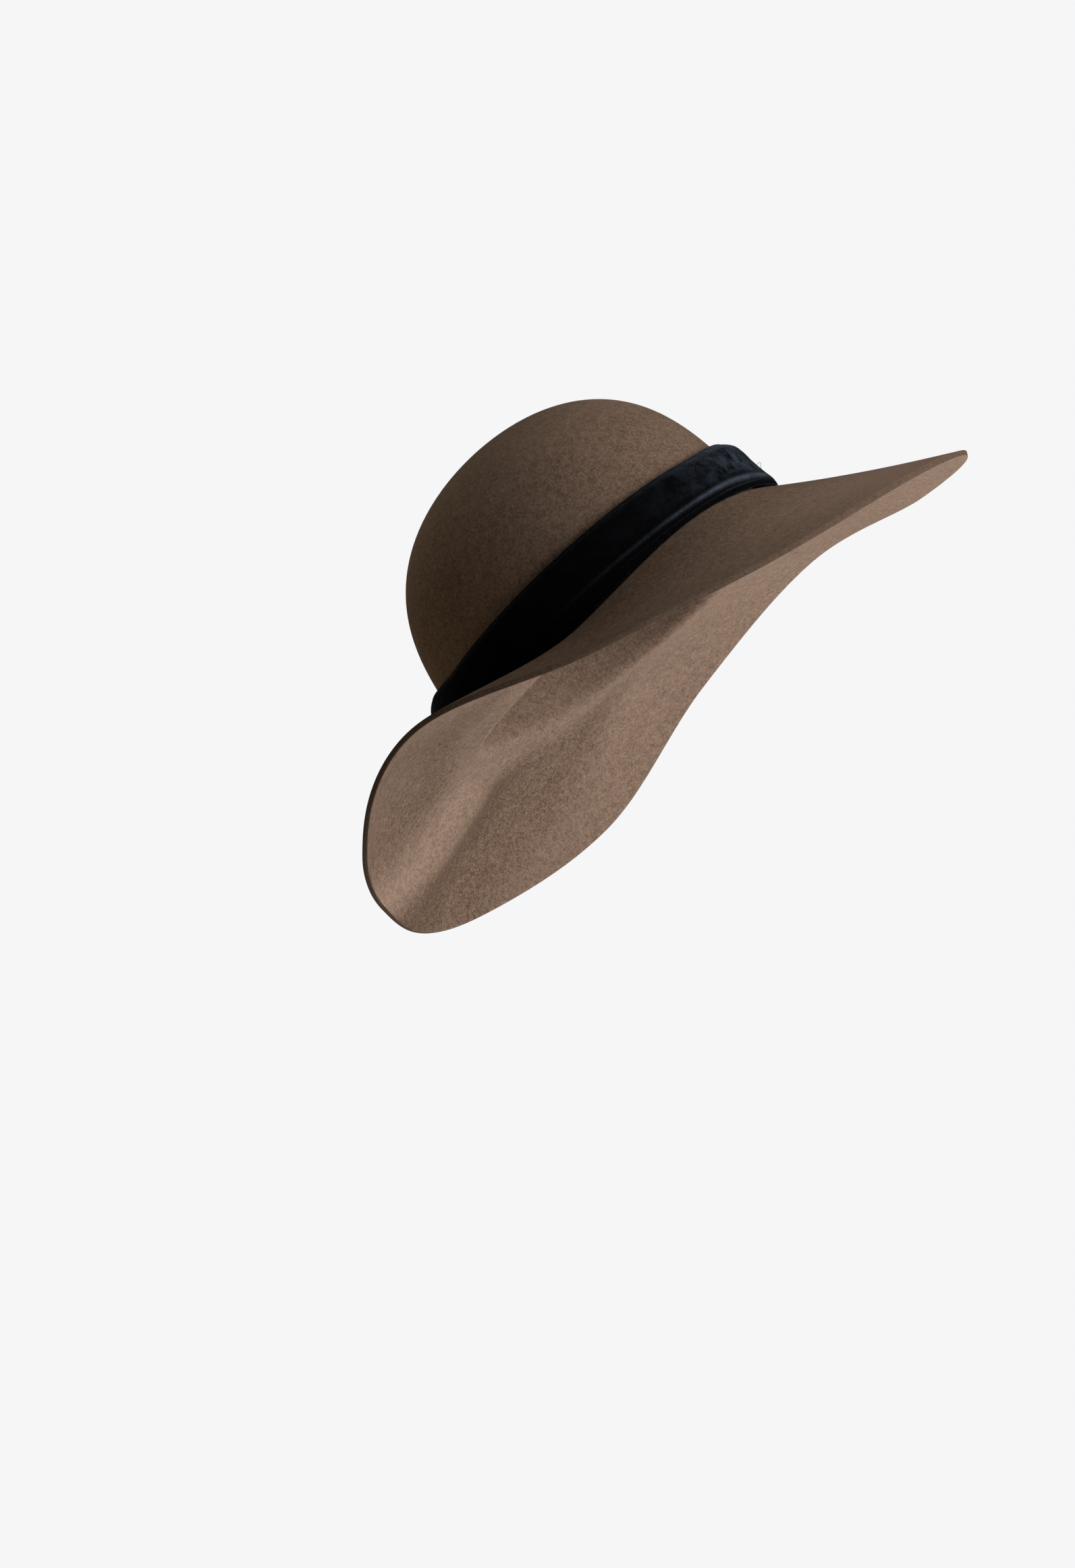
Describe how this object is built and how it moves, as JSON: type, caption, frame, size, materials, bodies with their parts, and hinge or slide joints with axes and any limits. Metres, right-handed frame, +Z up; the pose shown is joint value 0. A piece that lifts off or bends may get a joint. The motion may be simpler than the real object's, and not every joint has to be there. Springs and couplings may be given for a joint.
{
  "type": "floppy hat",
  "caption": "Soft felt hat with a round dome crown, a wide brim that droops front and back, and a velvet band round the foot of the crown.",
  "frame": {"origin": "centre of the head opening, level with the line where crown turns into brim", "axes": "+Z up along the crown, -Y the front of the hat, +X the wearer's left"},
  "size_m": [0.3715, 0.3686, 0.1711],
  "materials": {
    "felt": "brown wool felt, matt, with a short nap",
    "velvet": "black velvet with a blue-grey sheen"
  },
  "bodies": {
    "root": {"felt_body": "felt", "velvet_band": "velvet"}
  },
  "joints": []
}
